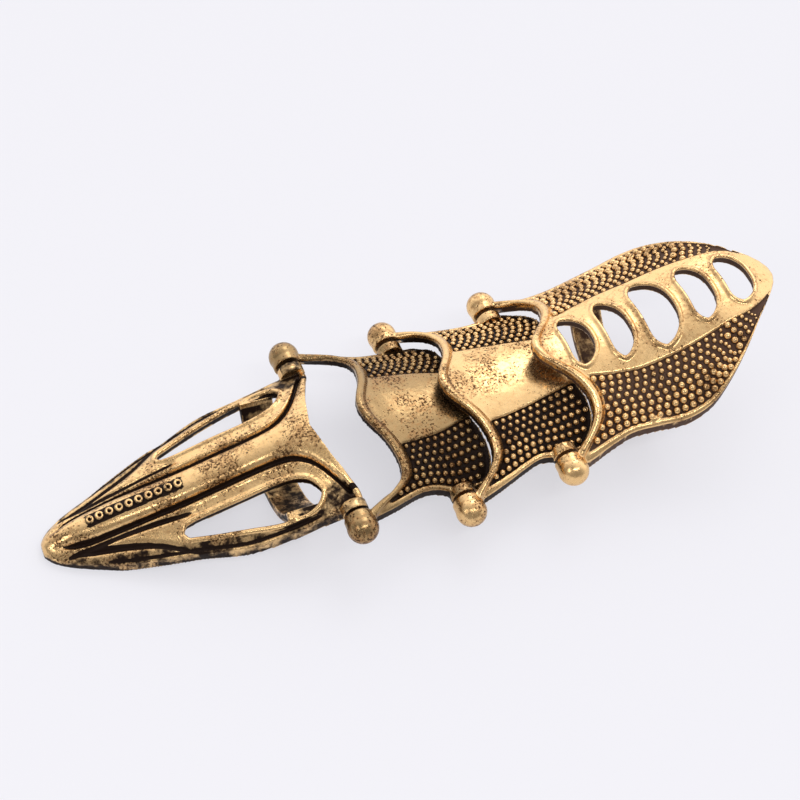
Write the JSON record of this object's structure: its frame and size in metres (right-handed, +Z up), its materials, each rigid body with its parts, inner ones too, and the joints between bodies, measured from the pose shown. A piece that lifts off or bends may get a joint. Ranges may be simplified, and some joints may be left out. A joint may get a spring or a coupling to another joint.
{
  "type": "knuckle armor ring",
  "caption": "Full finger armor ring: pointed fingertip claw, arched knuckle plates and a pierced hand plate on cross hinges, worn with two finger bands.",
  "frame": {"origin": "centre of the bounding box at the table, under the middle of the ring's length", "axes": "+X from the claw's tip to the hand, +Y across the finger, +Z up from the table"},
  "size_m": [0.082, 0.0278, 0.0152],
  "materials": {
    "antique_gold": "cast, antique gold plating rubbed bright on rims and beads, dark brown patina in the recesses",
    "pin_metal": "plain drawn pin, darkened"
  },
  "bodies": {
    "hand": {"hand_plate": "antique_gold", "hand_pin_left": "pin_metal", "hand_pin_right": "pin_metal"},
    "rear_plate": {"rear_knuckle_plate": "antique_gold", "middle_pin_left": "pin_metal", "middle_pin_right": "pin_metal"},
    "front_plate": {"front_knuckle_plate": "antique_gold", "claw_pin_left": "pin_metal", "claw_pin_right": "pin_metal"},
    "claw": {"fingertip_claw": "antique_gold"}
  },
  "joints": [
    {"name": "hand_hinge", "type": "hinge", "parent": "hand", "child": "rear_plate", "pos_m": [0.01265, 0, 0.0057], "axis": [0, -1, 0], "range_deg": [0, 40]},
    {"name": "middle_hinge", "type": "hinge", "parent": "rear_plate", "child": "front_plate", "pos_m": [0.00085, 0, 0.0044], "axis": [0, -1, 0], "range_deg": [0, 40]},
    {"name": "claw_hinge", "type": "hinge", "parent": "front_plate", "child": "claw", "pos_m": [-0.01105, 0, 0.0063], "axis": [0, -1, 0], "range_deg": [0, 60]}
  ]
}
